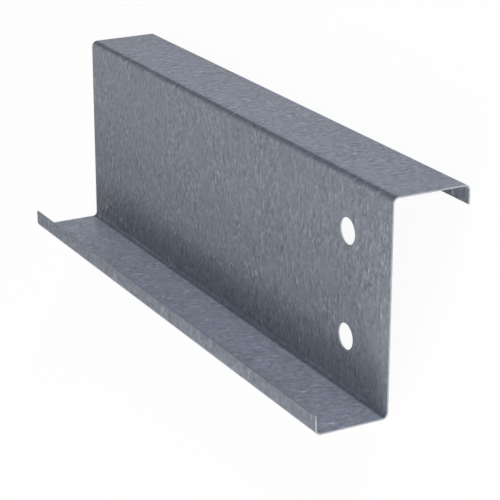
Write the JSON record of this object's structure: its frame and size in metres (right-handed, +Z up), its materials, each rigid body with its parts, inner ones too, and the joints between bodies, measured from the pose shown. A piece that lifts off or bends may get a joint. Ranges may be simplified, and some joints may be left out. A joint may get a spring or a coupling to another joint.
{
  "type": "z purlin",
  "caption": "Cold-rolled galvanised steel Z-section purlin with lipped flanges and a pair of round bolt holes through the web near one end.",
  "frame": {"origin": "on the floor under the middle of the purlin's length and width, as it lies", "axes": "+X runs along the purlin towards the end with the bolt holes, +Z is up as it lies on the wide flange's lip and the bend under its web, and +Y is the side of the wide flange"},
  "size_m": [0.6, 0.2382, 0.076],
  "materials": {
    "galvanised_sheet": "mill-galvanised steel sheet, dull blue-grey zinc with fine spangle and faint streaks"
  },
  "bodies": {
    "root": {"z_purlin": "galvanised_sheet"}
  },
  "joints": []
}
